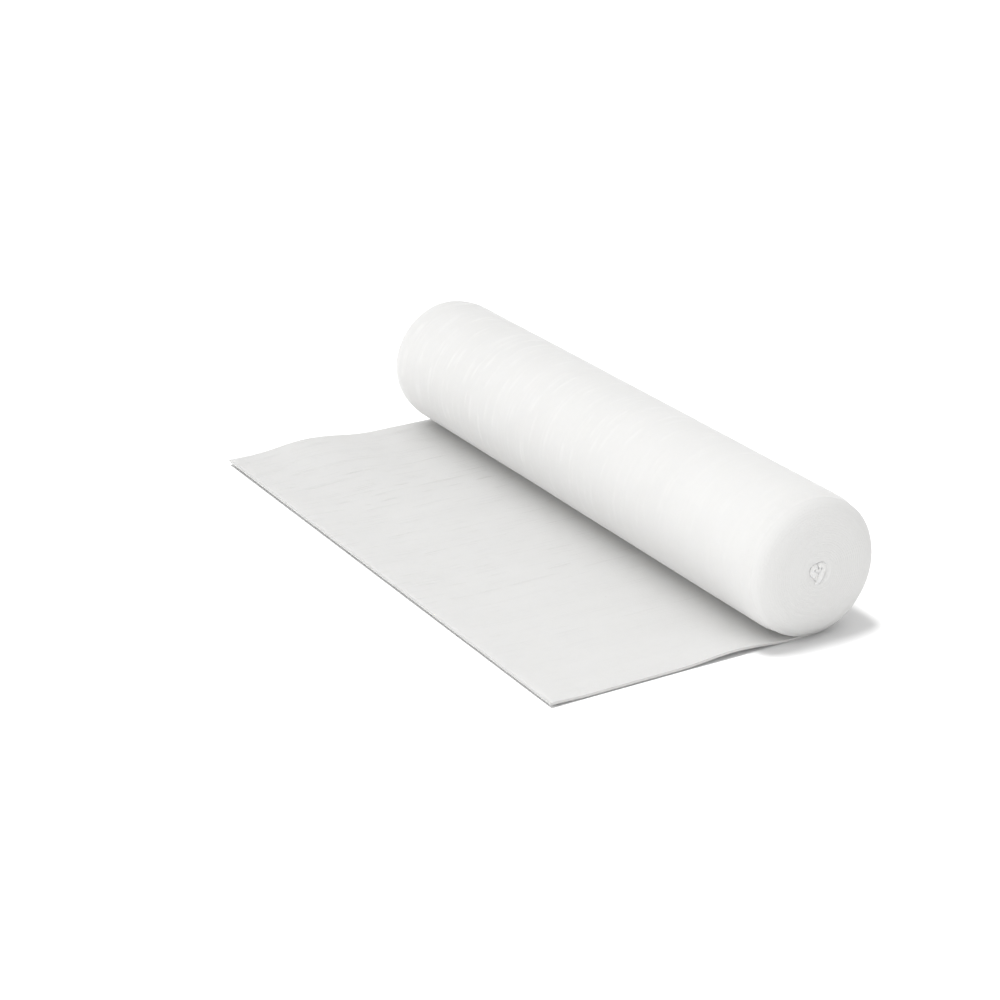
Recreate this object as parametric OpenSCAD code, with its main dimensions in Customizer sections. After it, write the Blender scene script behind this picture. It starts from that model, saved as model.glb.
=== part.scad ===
// A roll of foam wrap: one long sheet of white foam, wound on itself without a core,
// with its free end laid out on the table in front of it. Millimetres, +Z up.
// The roll lies along Y and the free end points to -X. The sheet runs out of the free
// end, under the roll, up its back, over its top and round inwards to the middle.

/* [Sheet] */
// Width of the foam sheet, which is the length of the roll
sheet_w = 500; // [300:10:750]
// Thickness of the foam sheet
sheet_t = 1.6; // [1:0.1:1.8]
// Length of the free end, from its front edge to the middle of the roll
tail_l = 193; // [160:1:300]

/* [Roll] */
// Outer diameter of the roll
roll_d = 100.8; // [80:0.1:140]
// Diameter of the hollow in the middle
bore_d = 14.5; // [14:0.1:24]
// Width of the flat that the roll rests on
flat_w = 19.6; // [6:0.2:24]
// Depth of turns above the flat that give way to make it
flat_depth = 14; // [8:1:25]

/* [Ends of the roll] */
// How far the innermost turn stands out at the near end, and in at the far end
dome_h = 10.5; // [0:0.5:20]
// How sharply the near end rounds over at its rim
dome_power = 8; // [2:1:12]
// Depth of the groove between one turn's cut edge and the next; deeper in, turns touch
groove_d = 5; // [2:0.5:12]
// Width of the groove at its mouth
groove_w = 0.35; // [0.1:0.05:0.6]

/* [Wave at the far edge] */
// Height of the wave
wave_h = 6; // [0:0.5:12]
// Distance of its crest from the front edge
wave_from_front = 65; // [50:1:90]
// Half the length of the wave along the free end
wave_half_l = 60; // [30:1:60]
// How far the wave reaches in from the far edge
wave_reach = 170; // [60:5:250]

/* [Lift at the near edge] */
// Height of the lift
lift_h = 2.3; // [0:0.1:5]
// Distance of its crest from the middle of the roll
lift_from_roll = 57; // [50:1:80]
// Half the length of the lift along the free end
lift_half_l = 45; // [20:1:48]
// How far the lift reaches in from the near edge
lift_reach = 90; // [40:5:200]

/* [Folded inner end] */
// Clearance between the folded end and the turn around it
fold_gap = 2.6; // [2:0.1:3]
// Radius of the bend where the fold leaves the innermost turn, at the middle of the sheet
peel_r = 1.95; // [1.5:0.05:2.5]
// Radius of the notch between the two lobes of the fold, at the middle of the sheet
notch_r = 0.95; // [0.95:0.05:1.2]
// Straightness of the two flanks of the fold, as the radius of their slight bow
flank_r = 30; // [20:1:60]

/* [Fineness] */
// Flats in each turn of the roll
turn_steps = 32; // [24:1:33]
// Steps along the free end
tail_steps = 14; // [8:1:16]
// Steps across the free end
width_steps = 18; // [8:1:20]

/* [Hidden] */

roll_r = roll_d / 2;
bore_r = bore_d / 2;
wound_steps = round((roll_r - sheet_t - bore_r) / sheet_t * turn_steps);
// The last turn, which has the hollow inside it and not another turn
last_turn = wound_steps - turn_steps;
// The flat lowers the middle of the roll by the height of the arc that it takes away
axis_z = sqrt(roll_r * roll_r - flat_w * flat_w / 4);
// The sheet starts to wind where the flat starts
start_angle = -asin(flat_w / 2 / roll_r);

// Outer radius of the sheet after i steps of winding, and the angle there,
// counted from the bottom of the roll towards its back
function radius_at(i) = roll_r - sheet_t * i / turn_steps;
function angle_at(i) = start_angle + 360 * i / turn_steps;

// How far the sheet has wandered towards the near end after i steps of winding
function drift_at(i) = dome_h * (1 - pow(radius_at(i) / roll_r, dome_power));
function near_at(i) = -sheet_w / 2 - drift_at(i);
function far_at(i) = sheet_w / 2 - drift_at(i);

// Height of the round roll's underside at x, below 0 where the flat cuts it off
function underside(x) = axis_z - sqrt(roll_r * roll_r - x * x);

// Lifts a point of the round roll to where it lies above the flat. The sheet on the
// table keeps its thickness, and the turns above it close up evenly.
function settled(x, z) =
    let (depth = z - underside(x), sink = max(0, -underside(x)))
    [x, z + sink * min(1, max(0, 1 - (depth - sheet_t) / flat_depth))];

// A point at radius r and angle a of the roll, at y along it
function roll_point(r, a, y) = let (p = settled(r * sin(a), axis_z - r * cos(a))) [p[0], y, p[1]];

// Smooth bump: 1 at q = 0, fading to 0 at q = 1 and beyond
function bump(q) = abs(q) < 1 ? (1 + cos(180 * q)) / 2 : 0;

// Height of the underside of the free end above the table
function wave_z(x, y) =
    wave_h * bump((x + tail_l - wave_from_front) / wave_half_l) * bump((sheet_w / 2 - y) / wave_reach)
    + lift_h * bump((x + lift_from_roll) / lift_half_l) * bump((sheet_w / 2 + y) / lift_reach);

// Points of the free end: a row of undersides and a row of tops at each step
tail_points = [for (i = [0:tail_steps - 1], top = [0, 1], j = [0:width_steps])
    let (x = -tail_l + (tail_l - flat_w / 2) * i / tail_steps, y = sheet_w * (j / width_steps - 1 / 2))
    [x, y, wave_z(x, y) + top * sheet_t]];

// Cut edges of the wound sheet: outer near, outer far, inner far and inner near corner
// at each step. A corner with a turn beside it stands back by half a groove.
edge_points = [for (i = [0:wound_steps])
    let (outer = radius_at(i) - (i < turn_steps ? 0 : groove_w / 2),
         inner = radius_at(i) - sheet_t + (i > last_turn ? 0 : groove_w / 2))
    each [roll_point(outer, angle_at(i), near_at(i)), roll_point(outer, angle_at(i), far_at(i)),
          roll_point(inner, angle_at(i), far_at(i)), roll_point(inner, angle_at(i), near_at(i))]];

// Bottom of the groove inside each step, at the near end and at the far end
groove_points = [for (i = [0:last_turn])
    let (r = radius_at(i) - sheet_t)
    each [roll_point(r, angle_at(i), near_at(i) + groove_d),
          roll_point(r, angle_at(i), far_at(i + turn_steps) - groove_d)]];

// The folded inner end, as arcs of the middle of the sheet: radius, the angle turned
// through, which is positive in the direction of the winding, and the number of flats
lobe_r = (bore_r - fold_gap - sheet_t) / 2;
fold_arcs = [
    [peel_r, 76, 3],
    [flank_r, 18, 2],
    [lobe_r, 184, 13],
    [notch_r, -140, 10],
    [lobe_r, 190, 13],
    [flank_r, 9, 1],
];

// One arc from a point [x, z, direction], and the whole run of arcs after it
function arc_point(start, arc, turn) =
    let (side = sign(arc[1]), a = start[2], b = a + turn)
    [start[0] + side * arc[0] * (sin(b) - sin(a)), start[1] + side * arc[0] * (cos(a) - cos(b)), b];
function fold_path(start, i = 0) =
    i == len(fold_arcs) ? [] :
    let (arc = fold_arcs[i])
    concat([for (k = [1:arc[2]]) arc_point(start, arc, arc[1] * k / arc[2])],
           fold_path(arc_point(start, arc, arc[1]), i + 1));
fold_start_r = radius_at(wound_steps) - sheet_t / 2;
fold_start_a = angle_at(wound_steps);
fold_points = [
    for (p = fold_path([fold_start_r * sin(fold_start_a), axis_z - fold_start_r * cos(fold_start_a),
                        fold_start_a]))
    let (half = [-sin(p[2]), cos(p[2])] * sheet_t / 2, outer = [p[0], p[1]] - half,
         inner = [p[0], p[1]] + half, near = near_at(wound_steps), far = far_at(wound_steps))
    each [[outer[0], near, outer[1]], [outer[0], far, outer[1]],
          [inner[0], far, inner[1]], [inner[0], near, inner[1]]]];

// Numbers of the points. The fold's rings of four go on from the wound sheet's.
row = width_steps + 1;
first_edge = len(tail_points);
first_groove = first_edge + len(edge_points) + len(fold_points);
last_ring = wound_steps + len(fold_points) / 4;
function tail_id(i, top, j) = (2 * i + top) * row + j;
function ring_id(k, corner) = first_edge + 4 * k + corner % 4;
function near_groove(k) = first_groove + 2 * k;
function far_groove(k) = first_groove + 2 * k + 1;

// Triangles of a four-sided face, and of a face with any number of corners
function fan(ids) = [for (i = [1:len(ids) - 2]) [ids[0], ids[i], ids[i + 1]]];
function side(k, corner) = fan([ring_id(k, corner), ring_id(k + 1, corner),
                                ring_id(k + 1, corner + 1), ring_id(k, corner + 1)]);
// The same side where it starts between the bottoms a and b of two grooves
function side_from(k, corner, a, b) = concat(
    fan([a, ring_id(k + 1, corner), ring_id(k + 1, corner + 1), b]),
    [[ring_id(k, corner), ring_id(k + 1, corner), a],
     [b, ring_id(k + 1, corner + 1), ring_id(k, corner + 1)]]);

tail_faces = [for (i = [0:tail_steps - 2], j = [0:width_steps - 1]) each concat(
    fan([tail_id(i, 0, j), tail_id(i + 1, 0, j), tail_id(i + 1, 0, j + 1), tail_id(i, 0, j + 1)]),
    fan([tail_id(i, 1, j), tail_id(i, 1, j + 1), tail_id(i + 1, 1, j + 1), tail_id(i + 1, 1, j)]))];
tail_edges = [for (i = [0:tail_steps - 2]) each concat(
    fan([tail_id(i, 1, 0), tail_id(i + 1, 1, 0), tail_id(i + 1, 0, 0), tail_id(i, 0, 0)]),
    fan([tail_id(i, 0, width_steps), tail_id(i + 1, 0, width_steps),
         tail_id(i + 1, 1, width_steps), tail_id(i, 1, width_steps)]))];
front_edge = [for (j = [0:width_steps - 1]) each
    fan([tail_id(0, 0, j), tail_id(0, 0, j + 1), tail_id(0, 1, j + 1), tail_id(0, 1, j)])];

// Where the free end runs in under the roll, both its faces are fans from their last row
last_row = tail_steps - 1;
nip_faces = concat(
    [for (j = [0:width_steps - 1]) [tail_id(last_row, 0, j), ring_id(0, 0), tail_id(last_row, 0, j + 1)]],
    [[tail_id(last_row, 0, width_steps), ring_id(0, 0), ring_id(0, 1)]],
    [for (j = [0:width_steps - 1]) [tail_id(last_row, 1, j), tail_id(last_row, 1, j + 1), near_groove(0)]],
    [[tail_id(last_row, 1, width_steps), far_groove(0), near_groove(0)],
     [tail_id(last_row, 1, width_steps), ring_id(0, 2), far_groove(0)],
     [tail_id(last_row, 1, 0), near_groove(0), ring_id(0, 3)]],
    fan([tail_id(last_row, 1, 0), ring_id(0, 3), ring_id(0, 0), tail_id(last_row, 0, 0)]),
    fan([tail_id(last_row, 0, width_steps), ring_id(0, 1), ring_id(0, 2), tail_id(last_row, 1, width_steps)]));

// The cut edges at both ends of the roll, and the walls of the groove between them
cut_faces = [for (k = [0:last_ring - 1]) each concat(side(k, 1), side(k, 3))];
groove_faces = [for (k = [0:last_turn - 1]) let (n = k + turn_steps) each concat(
    fan([near_groove(k), near_groove(k + 1), ring_id(k + 1, 3), ring_id(k, 3)]),
    fan([ring_id(k, 2), ring_id(k + 1, 2), far_groove(k + 1), far_groove(k)]),
    fan([ring_id(n, 0), ring_id(n + 1, 0), near_groove(k + 1), near_groove(k)]),
    fan([far_groove(k), far_groove(k + 1), ring_id(n + 1, 1), ring_id(n, 1)]))];

// The outside of the outermost turn, which ends where the free end starts
outside_faces = concat(
    [for (k = [0:turn_steps - 2]) each side(k, 0)],
    fan([ring_id(turn_steps - 1, 0), ring_id(turn_steps, 0), near_groove(0), far_groove(0)]),
    fan([far_groove(0), ring_id(turn_steps, 1), ring_id(turn_steps - 1, 1), ring_id(turn_steps - 1, 0)]));

// The wall of the hollow, and both faces of the fold in it
hollow_faces = concat(
    side_from(last_turn, 2, far_groove(last_turn), near_groove(last_turn)),
    [for (k = [last_turn + 1:last_ring - 1]) each side(k, 2)],
    side_from(wound_steps, 0, near_groove(last_turn), far_groove(last_turn)),
    [for (k = [wound_steps + 1:last_ring - 1]) each side(k, 0)],
    fan([ring_id(last_ring, 3), ring_id(last_ring, 2), ring_id(last_ring, 1), ring_id(last_ring, 0)]));

// The whole sheet, moved so that its box is centred over the origin
module foam_roll() {
    back_x = max([for (p = edge_points) p[0]]);
    color("whitesmoke")
        translate([(tail_l - back_x) / 2, dome_h / 2, 0])
            polyhedron(concat(tail_points, edge_points, fold_points, groove_points),
                       concat(tail_faces, tail_edges, front_edge, nip_faces, cut_faces,
                              groove_faces, outside_faces, hollow_faces));
}

foam_roll();
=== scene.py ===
from math import asin, ceil, cos, pi, radians, sin, sqrt
import bpy
from mathutils import Matrix, Vector


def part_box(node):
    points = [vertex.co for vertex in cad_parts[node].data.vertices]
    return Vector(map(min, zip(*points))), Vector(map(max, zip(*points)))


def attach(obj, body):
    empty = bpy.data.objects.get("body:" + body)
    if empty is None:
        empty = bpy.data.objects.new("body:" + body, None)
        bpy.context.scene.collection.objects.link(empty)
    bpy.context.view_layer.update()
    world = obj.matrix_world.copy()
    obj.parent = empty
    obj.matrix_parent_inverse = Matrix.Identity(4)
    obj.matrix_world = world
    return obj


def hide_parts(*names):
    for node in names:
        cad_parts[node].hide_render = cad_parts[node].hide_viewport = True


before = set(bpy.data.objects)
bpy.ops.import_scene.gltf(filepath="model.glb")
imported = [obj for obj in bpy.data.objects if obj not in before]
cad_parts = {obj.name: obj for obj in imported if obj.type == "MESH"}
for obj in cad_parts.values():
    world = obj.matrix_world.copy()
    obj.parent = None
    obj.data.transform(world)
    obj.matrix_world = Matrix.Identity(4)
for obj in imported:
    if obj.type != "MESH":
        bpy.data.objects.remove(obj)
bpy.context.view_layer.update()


# The sheet's folded inner end
# Winding starts from an end of the sheet that is folded twice, so that it grips itself.
# It shows in the small hollow of the roll's near end as two pale lobes and a notch.
MM = 0.001
roll_low, roll_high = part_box("foam_roll")
sheet_width = 500 * MM
cut_margin = 0.3 * MM
sheet_thickness = 1.6 * MM
turn_pitch = sheet_thickness
roll_radius = 50.4 * MM
hollow_radius = 7.25 * MM
flat_width = 19.6 * MM
near_end_bulge = 10.5 * MM

# Winding starts where the flat under the roll starts. Start angle is counted from the
# roll's lowest line, and the winding angles from the start.
start_angle = -asin(flat_width / 2 / roll_radius)
wound_angle = 2 * pi * (roll_radius - turn_pitch - hollow_radius) / turn_pitch
roll_back = roll_radius - turn_pitch * (pi / 2 - start_angle) / (2 * pi)
axis_x = roll_high[0] - roll_back
axis_z = sqrt(roll_radius ** 2 - (flat_width / 2) ** 2)
middle_y = roll_high[1] - sheet_width / 2

fold_clearance = 2.1 * MM
swelling_steps = 12
section_bends = (90, 60, 30, 0)
folded_thickness = 5.4 * MM
fold_rounding = 1.8 * MM
peel_radius = 1.95 * MM
notch_radius = 0.95 * MM
flank_radius = 30 * MM
lobe_radius = (hollow_radius - fold_clearance - turn_pitch) / 2
fold_arcs = [
    (peel_radius, 76),
    (flank_radius, 18),
    (lobe_radius, 184),
    (notch_radius, -140),
    (lobe_radius, 190),
    (flank_radius, 9),
]


def fold_route(x, z, heading, arcs, step=radians(6)):
    """The middle of the folded end, as points (x, z, heading) along its arcs."""
    route = [(x, z, heading)]
    for radius, degrees in arcs:
        side = 1 if degrees > 0 else -1
        count = ceil(abs(radians(degrees)) / step)
        for _ in range(count):
            turned = heading + radians(degrees) / count
            x += side * radius * (sin(turned) - sin(heading))
            z += side * radius * (cos(heading) - cos(turned))
            heading = turned
            route.append((x, z, heading))
    return route


def folded_end_mesh():
    """The fold swept along the roll, a little swollen, with rounded cut edges."""
    start_radius = roll_radius - turn_pitch * wound_angle / (2 * pi) - turn_pitch / 2
    end_angle = start_angle + wound_angle
    route = fold_route(
        axis_x + start_radius * sin(end_angle), axis_z - start_radius * cos(end_angle),
        end_angle, fold_arcs)
    near = roll_low[1]
    far = near + sheet_width
    bends = [radians(step) for step in section_bends]
    half_section = [(fold_rounding * (1 - sin(bend)), cos(bend)) for bend in bends]
    section = [(near + inset, -side) for inset, side in reversed(half_section)] \
        + [(near + inset, side) for inset, side in half_section[1:]] \
        + [(far - inset, side) for inset, side in reversed(half_section)] \
        + [(far - inset, -side) for inset, side in half_section[1:]]
    points = []
    for number, (x, z, heading) in enumerate(route):
        swelling = min(1, number / swelling_steps)
        thickness = sheet_thickness + (folded_thickness - sheet_thickness) * swelling
        for y, side in section:
            across = side * thickness / 2
            points.append((x - sin(heading) * across, y, z + cos(heading) * across))
    around = len(section)
    faces = []
    for row in range(len(route) - 1):
        for column in range(around):
            beside = (column + 1) % around
            faces.append((
                (row + 1) * around + column, (row + 1) * around + beside,
                row * around + beside, row * around + column))
    faces.append(tuple(range(around)))
    faces.append(tuple(len(points) - around + column for column in range(around))[::-1])
    mesh = bpy.data.meshes.new("folded_end")
    mesh.from_pydata(points, [], faces)
    mesh.validate()
    return mesh


# The wound sheet
# One sheet of white closed-cell foam, foamed flat and slit to width, and wound on itself
# without a core. Its free end lies on the table and runs in under the roll.
free_length = 193 * MM
lift_allowance = 2 * MM
flat_depth = 14 * MM
bulge_power = 8
rows_per_turn = 60
tail_rows = 56
outer_rows = 66
row_angle = 2 * pi / rows_per_turn
wound_rows = ceil(wound_angle / row_angle)
outer_columns = 180
inner_columns = 8
cut_layers = 4
column_crowding = 0.7
cut_share = 0.1

# Winding angles in radians over which a feature comes in or goes out. Cover is in turns.
wound_in_angle = 1.2
last_turn_angle = 0.4
cover_turns = 0.05
tail_ribs_start = 0.25
tail_ribs_angle = 0.4
outer_ribs_angle = 0.6
outer_ribs_end = 6.1
outer_ribs_fade = 0.5

# Scales of the uneven shapes, for a metre of sheet or for one roll radius, their seeds,
# and how much less they are at the near end
ring_scale = 4.5
hollow_scale_round = 1.3
hollow_scale_along = 9.0
rib_wander_scale = 0.5
rib_scale = 95.0
rib_seed = 3.0
near_rib_share = 0.35
ripple_scale = 11.0
ripple_seed = 7.0
ripple_floor = 0.5
near_front_share = 0.7

# How sharply the cut edges and the rims turn in
cut_rounding_power = 4.0
shoulder_power = 4.0
shoulder_steepness = 0.9


class Wire:
    """A value in a node tree, so that the rule of a shape can be written as sums."""

    def __init__(self, tree, socket):
        self.tree = tree
        self.socket = socket

    def math(self, operation, *others):
        node = self.tree.nodes.new("ShaderNodeMath")
        node.operation = operation
        for entry, value in zip(node.inputs, (self, *others)):
            if isinstance(value, Wire):
                self.tree.links.new(value.socket, entry)
            else:
                entry.default_value = value
        return Wire(self.tree, node.outputs[0])

    def __add__(self, other):
        return self.math("ADD", other)

    def __sub__(self, other):
        return self.math("SUBTRACT", other)

    def __mul__(self, other):
        return self.math("MULTIPLY", other)

    def __truediv__(self, other):
        return self.math("DIVIDE", other)

    def __pow__(self, other):
        return self.math("POWER", other)

    def __neg__(self):
        return self * -1.0

    __radd__ = __add__
    __rmul__ = __mul__

    def __rsub__(self, other):
        return -self + other

    def limited(self):
        """The value, kept between 0 and 1."""
        return self.math("MAXIMUM", 0.0).math("MINIMUM", 1.0)

    def eased(self):
        """0 to 1 with no corner at either end."""
        share = self.limited()
        return share * share * (3.0 - 2.0 * share)

    def bump(self):
        """1 at 0, falling smoothly to 0 at 1 and at -1."""
        return 0.5 + 0.5 * (self.math("ABSOLUTE").math("MINIMUM", 1.0) * pi).math("COSINE")

    def or_else(self, other, when):
        """This value where when is 0, and the other where it is 1."""
        return self + (other - self) * when


def linked_node(tree, kind, links=None, **settings):
    """A new node with its settings made and its inputs linked or filled in."""
    node = tree.nodes.new(kind)
    for name, value in settings.items():
        setattr(node, name, value)
    for name, value in (links or {}).items():
        entry = node.inputs[name]
        if isinstance(value, Wire):
            tree.links.new(value.socket, entry)
        else:
            entry.default_value = value
    return node


def vector(tree, x, y, z):
    """A vector made of three values or numbers."""
    return Wire(tree, linked_node(tree, "ShaderNodeCombineXYZ", {"X": x, "Y": y, "Z": z}).outputs[0])


def noise(tree, place, scale, detail=1.0):
    """Smooth noise from about -1 to 1 at a place, which is one value or a vector."""
    dimensions, entry = ("1D", "W") if place.socket.type == "VALUE" else ("3D", "Vector")
    node = linked_node(
        tree, "ShaderNodeTexNoise", {entry: place, "Scale": scale, "Detail": detail},
        noise_dimensions=dimensions)
    return 2.0 * Wire(tree, node.outputs[0]) - 1.0


def strip(tree, first_row, last_row, columns, width, thickness):
    """A flat strip of the sheet between two rows. Rows below 0 are in the free end."""
    rows = last_row - first_row
    box = linked_node(tree, "GeometryNodeMeshCube", {
        "Size": vector(tree, rows, width, thickness), "Vertices X": rows + 1,
        "Vertices Y": columns + 1, "Vertices Z": cut_layers + 1})
    moved = linked_node(tree, "GeometryNodeTransform", {
        "Geometry": Wire(tree, box.outputs["Mesh"]),
        "Translation": ((first_row + last_row) / 2, 0.0, 0.0)})
    return moved.outputs["Geometry"]


def wound_sheet_tree(sizes, finish):
    """Node tree that winds flat strips into the roll and joins the folded end to them."""
    tree = bpy.data.node_groups.new("wind_the_sheet", "GeometryNodeTree")
    tree.interface.new_socket("Folded End", in_out="INPUT", socket_type="NodeSocketGeometry")
    sockets = {}
    for name in sizes:
        sockets[name] = tree.interface.new_socket(name, in_out="INPUT", socket_type="NodeSocketFloat")
    tree.interface.new_socket("Roll", in_out="OUTPUT", socket_type="NodeSocketGeometry")
    entry = tree.nodes.new("NodeGroupInput")
    size = {name: Wire(tree, entry.outputs[name]) for name in sizes}
    width, thickness, radius, pitch = (size[n] for n in ("Width", "Thickness", "Roll Radius", "Turn Pitch"))

    # The strips, and what each point of them is: its winding angle, and its place in the sheet
    strips = linked_node(tree, "GeometryNodeJoinGeometry")
    for first_row, last_row, columns in (
            (-tail_rows, outer_rows, outer_columns), (outer_rows, wound_rows, inner_columns)):
        tree.links.new(strip(tree, first_row, last_row, columns, width, thickness), strips.inputs[0])
    place = linked_node(tree, "ShaderNodeSeparateXYZ", {
        "Vector": Wire(tree, tree.nodes.new("GeometryNodeInputPosition").outputs[0])})
    row, across, height = (Wire(tree, s) for s in place.outputs)
    tail_step = (size["Free Length"] - size["Flat Width"] * 0.5) / radius / tail_rows
    angle = (row.math("MAXIMUM", 0.0) * row_angle).math("MINIMUM", size["Wound Angle"]) \
        + row.math("MINIMUM", 0.0) * tail_step
    in_tail = angle.math("LESS_THAN", 0.0)
    turned = angle.math("MAXIMUM", 0.0)
    is_inner = row.math("GREATER_THAN", outer_rows - 0.5)

    # Columns crowd towards both cut edges, and on the inner turns nearly all lie there
    side = across.math("SIGN")
    share_in = 1.0 - across.math("ABSOLUTE") / (width * 0.5)
    eased_in = share_in - (share_in * pi).math("SINE") * (column_crowding / pi)
    column = share_in * (inner_columns / 2)
    stepped_in = column * column * size["Rim Step"]
    last_step = (column - (inner_columns / 2 - 1)).math("MAXIMUM", 0.0)
    half_way = width * 0.5 - (inner_columns / 2) ** 2 * size["Rim Step"]
    from_edge = (eased_in * width * 0.5).or_else(stepped_in + last_step * half_way, is_inner)
    across = side * (width * 0.5 - from_edge)
    at_cut = from_edge.math("LESS_THAN", size["Rim Step"] * cut_share)

    # The radius of each point. Turns touch at their cut edges, with some play between them
    # inside, and the innermost turn swells until it meets the folded end.
    covered = ((turned / (2 * pi) - 1.0) / cover_turns).limited() * height.math("LESS_THAN", 0.0)
    play = size["Play Inside"] * covered * ((from_edge - size["Play Start"]) / size["Play Reach"]).limited()
    last_turn = ((turned - size["Wound Angle"] + 2 * pi) / last_turn_angle + 0.5).limited()
    core_swell = size["Core Swell"] * last_turn * height.math("GREATER_THAN", 0.0) \
        * ((from_edge - size["Swell Start"]) / size["Swell Reach"]).limited()
    flat_r = radius - thickness * 0.5 - pitch * turned / (2 * pi) - height - play - core_swell
    share_r = flat_r / radius
    wound_in = (turned / wound_in_angle).eased()

    # Turns drift sideways as they are wound, so the near end bulges and the far end is
    # dished. Each cut edge is a little rounded, and the innermost turns stand back.
    rounding = (height.math("ABSOLUTE") / (thickness * 0.5)) ** cut_rounding_power
    edge_pull = side * at_cut * rounding * size["Edge Softness"]
    rings = noise(tree, share_r, ring_scale) * size["Turn Stray"]
    drift = (size["Near Bulge"] * (1.0 - share_r ** size["Bulge Power"]) + rings) * wound_in
    near_side = side.math("LESS_THAN", 0.0) * (1.0 - from_edge / size["Funnel Reach"]).limited()
    to_hollow = 1.0 - (flat_r - size["Hollow Radius"]) / size["Funnel Width"]
    funnel = size["Funnel Depth"] * to_hollow.eased() * near_side
    along = across - edge_pull - drift + funnel

    # The rims are soft: near both ends the outer turns close in a little
    to_rim = (along.math("ABSOLUTE") - (width * 0.5 - size["Shoulder Reach"])) / size["Shoulder Reach"]
    rim_drop = size["Shoulder Drop"] * share_r ** shoulder_power \
        * (to_rim * shoulder_steepness).eased() * wound_in

    # Long shallow hollows in the roll, the same for every turn at one place
    facing = turned + size["Start Angle"]
    round_x = facing.math("SINE")
    round_z = facing.math("COSINE")
    here = vector(
        tree, round_x * share_r * hollow_scale_round, along * hollow_scale_along,
        round_z * share_r * hollow_scale_round)
    hollows = noise(tree, here, 1.0) * size["Hollow Depth"] * wound_in * share_r

    # Broad ribs that the die draws along the sheet, on the faces that show
    wander = across + noise(tree, angle, rib_wander_scale) * size["Rib Wander"]
    ribs = noise(tree, wander + rib_seed, rib_scale)
    far_share = (across / width + 0.5).limited()
    shows_above = in_tail * height.math("GREATER_THAN", 0.0) \
        * ((-angle - tail_ribs_start) / tail_ribs_angle).eased()
    shows_outside = (1.0 - in_tail) * height.math("LESS_THAN", 0.0) \
        * (turned / outer_ribs_angle).eased() * ((outer_ribs_end - turned) / outer_ribs_fade).eased()
    rib_height = size["Rib Height"] * (near_rib_share + (1.0 - near_rib_share) * far_share)
    ridge = ribs * rib_height * (shows_above - shows_outside)

    # Round the roll, and then settled on the flat that its weight makes
    point_r = flat_r - ridge - rim_drop + hollows
    x_round = point_r * round_x
    z_round = size["Axis Height"] - point_r * round_z
    reach = (radius * radius - x_round * x_round).math("MAXIMUM", 0.0).math("SQRT")
    underside = size["Axis Height"] - reach
    softened = (underside * underside + size["Contact Softness"] ** 2.0).math("SQRT")
    sink = (softened - underside) * 0.5
    depth = (z_round - underside - thickness) / size["Flat Depth"]
    z_settled = z_round + sink * (1.0 - depth.limited())

    # The free end, with its wave at the far edge and its lifts
    x_tail = angle * radius - size["Flat Width"] * 0.5
    from_front = x_tail + size["Free Length"]
    far_in = width * 0.5 - across
    near_in = width * 0.5 + across
    wave = size["Wave Height"] * ((from_front - size["Wave Place"]) / size["Wave Half"]).bump() \
        * (far_in / size["Wave Reach"]).bump()
    lift = size["Lift Height"] * ((x_tail + size["Lift Place"]) / size["Lift Half"]).bump() \
        * (near_in / size["Lift Reach"]).bump()
    front = size["Front Lift"] * (from_front / size["Edge Reach"]).bump() \
        * (near_front_share + (1.0 - near_front_share) * far_share)
    near_edge = size["Edge Lift"] * (near_in / size["Edge Reach"]).bump() \
        * ((-x_tail - size["Edge Start"]) / size["Edge Ease"]).eased()
    resting = ((-x_tail - size["Ripple Start"]) / size["Ripple Ease"]).eased()
    tail_place = vector(tree, x_tail * ripple_scale, across * ripple_scale, ripple_seed)
    ripple = (noise(tree, tail_place, 1.0, 2.0).math("MAXIMUM", -ripple_floor) + ripple_floor) \
        * size["Ripple Height"] * resting
    z_tail = thickness * 0.5 + height + wave + lift + front.math("MAXIMUM", near_edge) + ripple + ridge

    x_all = x_round.or_else(x_tail, in_tail) + size["Axis X"]
    y_all = along + size["Middle Y"]
    z_all = z_settled.or_else(z_tail, in_tail)
    length = radius * angle - pitch * turned * turned / (4 * pi)
    stored = linked_node(tree, "GeometryNodeStoreNamedAttribute", {
        "Geometry": Wire(tree, strips.outputs[0]), "Name": "sheet_place",
        "Value": vector(tree, length, across, height)}, data_type="FLOAT_VECTOR", domain="POINT")
    wound = linked_node(tree, "GeometryNodeSetPosition", {
        "Geometry": Wire(tree, stored.outputs[0]), "Position": vector(tree, x_all, y_all, z_all)})
    welded = linked_node(tree, "GeometryNodeMergeByDistance", {
        "Geometry": Wire(tree, wound.outputs[0]), "Distance": size["Weld Distance"]})
    whole = linked_node(tree, "GeometryNodeJoinGeometry")
    tree.links.new(welded.outputs[0], whole.inputs[0])
    tree.links.new(entry.outputs["Folded End"], whole.inputs[0])
    smooth = linked_node(tree, "GeometryNodeSetShadeSmooth", {"Geometry": Wire(tree, whole.outputs[0])})
    real = linked_node(tree, "GeometryNodeRealizeInstances", {"Geometry": Wire(tree, smooth.outputs[0])})
    painted = linked_node(tree, "GeometryNodeSetMaterial", {
        "Geometry": Wire(tree, real.outputs[0]), "Material": finish})
    leave = tree.nodes.new("NodeGroupOutput")
    tree.links.new(painted.outputs[0], leave.inputs[0])
    return tree, {name: socket.identifier for name, socket in sockets.items()}


# The foam's finish
# White closed-cell polyethylene, soft and matt. The die leaves narrow lines along the
# sheet. Each gain and loss is a share of the plain foam's lightness.
base_light = 0.66
tint = (1.0, 0.997, 0.985)
# Painted shade: the free end, where the sheet lies alone, is made a little darker than the roll
free_end_painted_shade = 0.05
cut_loss = 0.025
cut_loss_inward = 0.05
# Painted shade along the free end's thin cut edges
thin_edge_painted_shade = 0.15
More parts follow.
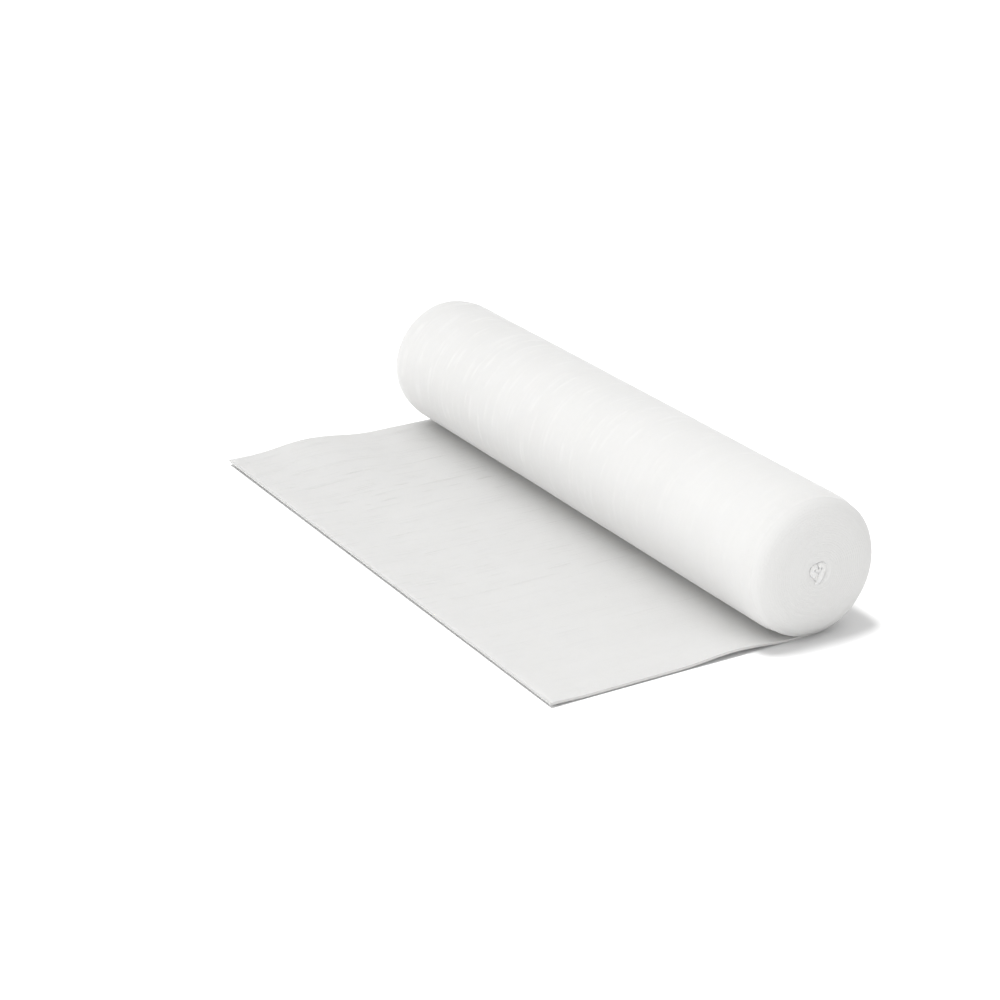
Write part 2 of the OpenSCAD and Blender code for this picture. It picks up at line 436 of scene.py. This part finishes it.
# The lines' colour: partly their own tone, partly a painted highlight on raised lines and painted shade in
# sunk ones
raised_line_tone_and_highlight = 0.055
sunk_line_tone_and_shade = 0.06
mottle_gain = 0.014
patch_gain = 0.025
speck_loss = 0.35

# Its lines: how many to a metre, their half widths on the roll's outside and in the free
# end as shares of their spacing, and how far they wander
wide_line_scale = 85.0
fine_line_scale = 160.0
raised_widths = (0.24, 0.26)
sunk_widths = (0.11, 0.18)
raised_fine_share = 0.5
sunk_fine_share = 0.9
slow_wander = 1.6 * MM
quick_wander = 1.1 * MM
slow_wander_scale = 9.0
quick_wander_scales = (55.0, 70.0)
near_line_share = 0.2

# Where the lines break off: a scale along and one across the sheet, a contrast and a level
break_scales = (46.0, 90.0)
break_contrast = 2.6
break_level = 0.30
patch_scales = (12.0, 40.0)

# Its cells and dust, to a metre, the relief of each, and how far the free end's painted
# shade and the darker inner cut edges reach along the sheet
cell_scale = 780.0
mottle_scale = 260.0
dust_scale = 42.0
dust_chosen = 0.72
dust_radius = 0.022
cell_relief = 0.25
mottle_relief = 0.2
line_relief = 1.6
single_layer_reach = 40 * MM
rim_reach = 1.3
free_edge = free_length + lift_allowance - flat_width / 2 - cut_margin


def sheet_noise(tree, along, across, scales, seed, detail=1.0):
    """Smooth noise in the sheet's own plane, stretched by a scale along and one across."""
    return noise(tree, vector(tree, along * scales[0], across * scales[1], seed), 1.0, detail)


def line_profile(away, width):
    """1 in the middle of a line, falling smoothly to 0 at its half width."""
    return (1.0 - away / width).eased()


def foam_material():
    """White polyethylene foam: soft and matt, with light in its skin, die lines and cells."""
    material = bpy.data.materials.new("white_foam")
    material.use_nodes = True
    tree = material.node_tree
    shader = tree.nodes["Principled BSDF"]
    shader.inputs["Roughness"].default_value = 0.62
    shader.inputs["IOR"].default_value = 1.4
    shader.inputs["Specular IOR Level"].default_value = 0.1
    shader.inputs["Subsurface Radius"].default_value = (1.0, 0.98, 0.94)
    shader.inputs["Subsurface Scale"].default_value = 1 * MM

    place = Wire(tree, linked_node(tree, "ShaderNodeTexCoord").outputs["Object"])
    sheet = linked_node(tree, "ShaderNodeAttribute", attribute_name="sheet_place")
    along, across, height = (Wire(tree, part) for part in linked_node(
        tree, "ShaderNodeSeparateXYZ", {"Vector": Wire(tree, sheet.outputs["Vector"])}).outputs)
    # single is the free end, which gets painted shade
    single = (along / -single_layer_reach).eased()
    underside = height.math("LESS_THAN", 0.0)
    on_face = across.math("ABSOLUTE").math("LESS_THAN", sheet_width / 2 - cut_margin)

    # Light passes into the foam's skin, but not into its cut edges, which lie on each other
    tree.links.new(on_face.socket, shader.inputs["Subsurface Weight"])

    # Narrow lines drawn by the die: they stand out of the roll, and are sunk in the free end.
    # Their colour is partly the lines' own tone and partly painted light: a painted highlight
    # on the raised lines and painted shade in the sunk ones.
    wandering = across + noise(tree, along, slow_wander_scale) * slow_wander \
        + sheet_noise(tree, along, across, quick_wander_scales, 3.0) * quick_wander
    drawn_away, finer_away = (
        Wire(tree, linked_node(
            tree, "ShaderNodeTexVoronoi", {"W": wandering, "Scale": scale},
            voronoi_dimensions="1D", feature="F1").outputs["Distance"])
        for scale in (wide_line_scale, fine_line_scale))
    broken = sheet_noise(tree, along, across, break_scales, 0.0, 2.0) * break_contrast + break_level
    to_far_end = (across / sheet_width + 0.5).limited()
    shown = broken.limited() * (near_line_share + (1.0 - near_line_share) * to_far_end) * on_face
    raised = (line_profile(drawn_away, raised_widths[0])
              + raised_fine_share * line_profile(finer_away, raised_widths[1])) * shown
    sunk = (line_profile(drawn_away, sunk_widths[0])
            + sunk_fine_share * line_profile(finer_away, sunk_widths[1])) * shown
    ridge = raised * underside
    groove = sunk * (1.0 - underside)

    # Cells, a fine mottle, broad patches and a few dust specks
    cells = linked_node(tree, "ShaderNodeTexVoronoi", {"Vector": place, "Scale": cell_scale}, feature="F1")
    mottle = noise(tree, place, mottle_scale, 3.0)
    patches = sheet_noise(tree, along, across, patch_scales, 5.0, 3.0)
    dust = linked_node(tree, "ShaderNodeTexVoronoi", {"Vector": place, "Scale": dust_scale}, feature="F1")
    chosen = Wire(tree, dust.outputs["Color"]).math("GREATER_THAN", dust_chosen)
    speck = (1.0 - Wire(tree, dust.outputs["Distance"]) / dust_radius).limited() * chosen

    # Cut edges are a little darker than the skin, more so further into the roll. The free end's
    # thin cut edges are painted darker still: painted shade along its edges
    cut = (1.0 - on_face).math("MAXIMUM", (along / -free_edge).math("GREATER_THAN", 1.0))
    inward = (along / rim_reach).eased()
    light = base_light * (1.0 - free_end_painted_shade * single) \
        * (1.0 - (cut_loss + cut_loss_inward * inward + thin_edge_painted_shade * single) * cut) \
        * (1.0 + raised_line_tone_and_highlight * ridge - sunk_line_tone_and_shade * groove
           + mottle_gain * mottle + patch_gain * patches) \
        * (1.0 - speck_loss * speck)
    colour = linked_node(tree, "ShaderNodeCombineColor", {
        name: light * share for name, share in zip(("Red", "Green", "Blue"), tint)})
    tree.links.new(colour.outputs["Color"], shader.inputs["Base Color"])

    relief = Wire(tree, cells.outputs["Distance"]) * cell_relief + mottle * mottle_relief \
        + (ridge - groove) * line_relief
    surface = linked_node(tree, "ShaderNodeBump", {"Strength": 0.5, "Distance": 0.3 * MM, "Height": relief})
    tree.links.new(surface.outputs["Normal"], shader.inputs["Normal"])
    return material


white_foam = foam_material()
sheet_sizes = {
    "Width": sheet_width,
    "Thickness": sheet_thickness,
    "Roll Radius": roll_radius,
    "Turn Pitch": turn_pitch,
    "Start Angle": start_angle,
    "Wound Angle": wound_angle,
    "Free Length": free_length + lift_allowance,
    "Axis X": axis_x,
    "Axis Height": axis_z,
    "Middle Y": middle_y,
    "Flat Width": flat_width,
    "Flat Depth": flat_depth,
    "Near Bulge": near_end_bulge,
    "Bulge Power": bulge_power,
    "Turn Stray": 0.35 * MM,
    "Hollow Radius": hollow_radius,
    "Funnel Depth": 0.9 * MM,
    "Funnel Reach": 20 * MM,
    "Funnel Width": 4 * MM,
    "Shoulder Reach": 11 * MM,
    "Shoulder Drop": 1.7 * MM,
    "Rim Step": 0.5 * MM,
    "Edge Softness": 0.05 * MM,
    "Play Inside": 0.8 * MM,
    "Play Start": 1.0 * MM,
    "Play Reach": 4.0 * MM,
    "Core Swell": 5.0 * MM,
    "Swell Start": 0.2 * MM,
    "Swell Reach": 1.3 * MM,
    "Hollow Depth": 0.35 * MM,
    "Rib Height": 0.03 * MM,
    "Rib Wander": 1.2 * MM,
    "Contact Softness": 0.3 * MM,
    "Wave Height": 6 * MM,
    "Wave Place": 65 * MM,
    "Wave Half": 60 * MM,
    "Wave Reach": 170 * MM,
    "Lift Height": 2.3 * MM,
    "Lift Place": 57 * MM,
    "Lift Half": 45 * MM,
    "Lift Reach": 90 * MM,
    "Front Lift": 2.4 * MM,
    "Edge Lift": 0.8 * MM,
    "Edge Reach": 45 * MM,
    "Edge Start": 5 * MM,
    "Edge Ease": 60 * MM,
    "Ripple Height": 0.35 * MM,
    "Ripple Start": 12 * MM,
    "Ripple Ease": 50 * MM,
    "Weld Distance": 0.01 * MM,
}
winding, inputs = wound_sheet_tree(sheet_sizes, white_foam)
sheet_draft = bpy.data.objects.new("sheet_draft", folded_end_mesh())
bpy.context.collection.objects.link(sheet_draft)
modifier = sheet_draft.modifiers.new("winding", "NODES")
modifier.node_group = winding
for size_name, value in sheet_sizes.items():
    modifier[inputs[size_name]] = float(value)
wound_mesh = bpy.data.meshes.new_from_object(
    sheet_draft.evaluated_get(bpy.context.evaluated_depsgraph_get()))
bpy.data.objects.remove(sheet_draft)
wrap_roll = bpy.data.objects.new("wrap_roll", wound_mesh)
bpy.context.collection.objects.link(wrap_roll)
wound_length = (roll_radius - turn_pitch / 2) * wound_angle - turn_pitch * wound_angle ** 2 / (4 * pi)
fold_length = sum(radius * abs(radians(degrees)) for radius, degrees in fold_arcs)
sheet_length = free_length + lift_allowance - flat_width / 2 + wound_length + fold_length
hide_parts("foam_roll")
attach(wrap_roll, "root")


# The table top
# A seamless white photo table, lit until it is plain white. It isn't part of the object.
table_size = 14.0
table_white = 0.82


def table_material():
    material = bpy.data.materials.new("white_table")
    material.use_nodes = True
    shader = material.node_tree.nodes["Principled BSDF"]
    shader.inputs["Base Color"].default_value = (table_white, table_white, table_white, 1)
    shader.inputs["Roughness"].default_value = 0.9
    shader.inputs["Specular IOR Level"].default_value = 0.1
    return material


half = table_size / 2
table_mesh = bpy.data.meshes.new("table_top")
table_corners = [(-half, -half, 0), (half, -half, 0), (half, half, 0), (-half, half, 0)]
table_mesh.from_pydata(table_corners, [], [(0, 1, 2, 3)])
table_mesh.materials.append(table_material())
table_top = bpy.data.objects.new("table_top", table_mesh)
bpy.context.collection.objects.link(table_top)


# The studio light
# A white room all round. The roll has a wide soft light overhead, a low one from the left
# and a soft box at the front left. The table has its own light, which turns it plain white.
scene = bpy.context.scene
room = bpy.data.worlds.new("white_room")
room.use_nodes = True
room.node_tree.nodes["Background"].inputs["Color"].default_value = (1, 1, 1, 1)
room.node_tree.nodes["Background"].inputs["Strength"].default_value = 0.82
scene.world = room
scene.view_settings.view_transform = "Standard"


def soft_light(name, direction, strength, spread, lit):
    """Even soft light from a direction, spread over so many degrees, on the objects in lit."""
    light = bpy.data.lights.new(name, "SUN")
    light.energy = strength
    light.angle = radians(spread)
    lamp = bpy.data.objects.new(name, light)
    lamp.rotation_euler = Vector(direction).to_track_quat("Z", "Y").to_euler()
    bpy.context.collection.objects.link(lamp)
    receivers = bpy.data.collections.new(name + "_lights")
    for thing in lit:
        receivers.objects.link(thing)
    lamp.light_linking.receiver_collection = receivers


soft_light("overhead", (-0.22, -0.05, 1.0), 0.72, 55, [wrap_roll])
soft_light("low_left", (-1.00, 0.10, 0.12), 0.70, 60, [wrap_roll])
soft_light("backdrop", (-0.09, 0.16, 1.0), 3.2, 18, [table_top])

box_light = bpy.data.lights.new("soft_box", "AREA")
box_light.energy = 3.2
box_light.size = 0.8
soft_box = bpy.data.objects.new("soft_box", box_light)
box_place = Vector((-0.5, -0.55, 1.0))
soft_box.location = box_place + Vector((axis_x, middle_y, 0.0))
soft_box.rotation_euler = box_place.to_track_quat("Z", "Y").to_euler()
bpy.context.collection.objects.link(soft_box)
soft_box.light_linking.receiver_collection = bpy.data.collections["overhead_lights"]


# The camera
# Placed as the photograph's was: about 1.9 m away, to the front left, and looking down.
camera_place = Vector((axis_x - 914.9 * MM, middle_y - 1533.7 * MM, 736.0 * MM))
camera_turn = radians(28.22)
camera_down = radians(22.02)
camera_tilt = radians(1.97)
focal_pixels = 2636.4
frame_pixels = 1000
sensor = 36.0
ahead = Vector((
    sin(camera_turn) * cos(camera_down), cos(camera_turn) * cos(camera_down), -sin(camera_down)))
level = Vector((cos(camera_turn), -sin(camera_turn), 0))
below = ahead.cross(level)
right = level * cos(camera_tilt) + below * sin(camera_tilt)
up = level * sin(camera_tilt) - below * cos(camera_tilt)
camera_data = bpy.data.cameras.new("camera")
camera_data.sensor_width = sensor
camera_data.lens = focal_pixels / frame_pixels * sensor
camera_data.clip_end = 30
camera = bpy.data.objects.new("camera", camera_data)
camera.matrix_world = Matrix.Translation(camera_place) @ Matrix((right, up, -ahead)).transposed().to_4x4()
bpy.context.collection.objects.link(camera)
scene.camera = camera
